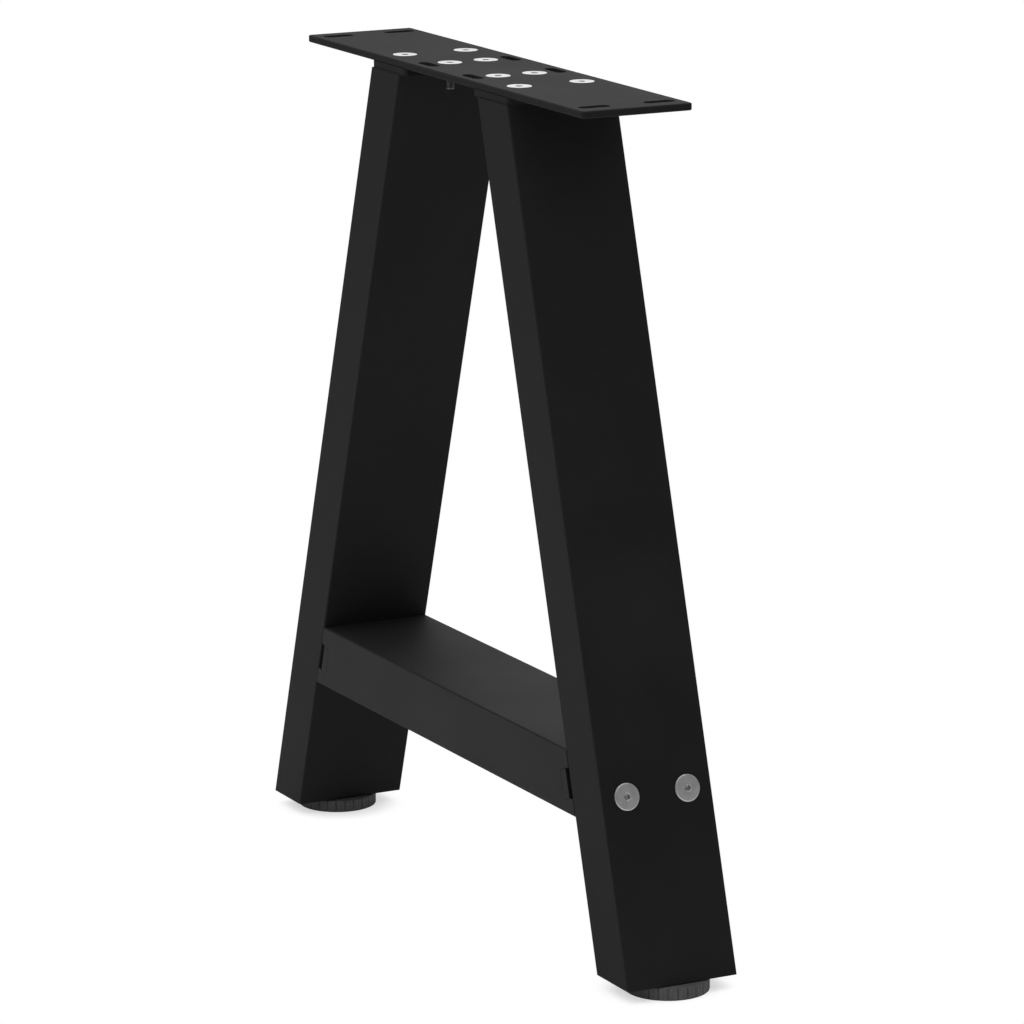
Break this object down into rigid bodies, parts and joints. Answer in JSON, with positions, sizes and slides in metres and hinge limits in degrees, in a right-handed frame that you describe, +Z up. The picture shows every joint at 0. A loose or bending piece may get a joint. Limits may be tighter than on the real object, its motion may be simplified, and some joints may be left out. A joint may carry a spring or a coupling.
{
  "type": "trestle table leg",
  "caption": "A-frame steel table leg: splayed box-section legs and a bolted cross bar under a long slotted mounting plate, standing on round levelling feet.",
  "frame": {"origin": "on the floor, midway between the two feet, under the middle of the mounting plate", "axes": "+Z up from the floor to the table top, X along the mounting plate and from foot to foot, Y across the plate"},
  "size_m": [0.681, 0.1016, 0.715],
  "materials": {
    "black_powder_coat": "matt black powder coat with a fine texture, on mild steel",
    "zinc_plated_steel": "bright zinc plating",
    "foot_plastic": "dark grey moulded plastic"
  },
  "bodies": {
    "frame": {"top_plate": "black_powder_coat", "leg_tube_left": "black_powder_coat", "leg_tube_right": "black_powder_coat", "leg_flange_left": "black_powder_coat", "leg_flange_right": "black_powder_coat", "leg_base_plate_left": "black_powder_coat", "leg_base_plate_right": "black_powder_coat", "cross_bar": "black_powder_coat", "bar_end_plate_left": "black_powder_coat", "bar_end_plate_right": "black_powder_coat", "plate_bolts_front": "zinc_plated_steel", "plate_bolts_back": "zinc_plated_steel", "bar_bolts_front": "zinc_plated_steel", "bar_bolts_back": "zinc_plated_steel", "foot_nut_left": "zinc_plated_steel", "foot_nut_right": "zinc_plated_steel"},
    "foot_left": {"foot_disc_left": "foot_plastic", "foot_stud_left": "zinc_plated_steel"},
    "foot_right": {"foot_disc_right": "foot_plastic", "foot_stud_right": "zinc_plated_steel"}
  },
  "joints": [
    {"name": "foot_left_screw", "type": "hinge", "parent": "frame", "child": "foot_left", "pos_m": [-0.30547, 0, 0], "axis": [0, 0, -1], "range_deg": [0, 2400]},
    {"name": "foot_right_screw", "type": "hinge", "parent": "frame", "child": "foot_right", "pos_m": [0.30547, 0, 0], "axis": [0, 0, -1], "range_deg": [0, 2400]}
  ]
}
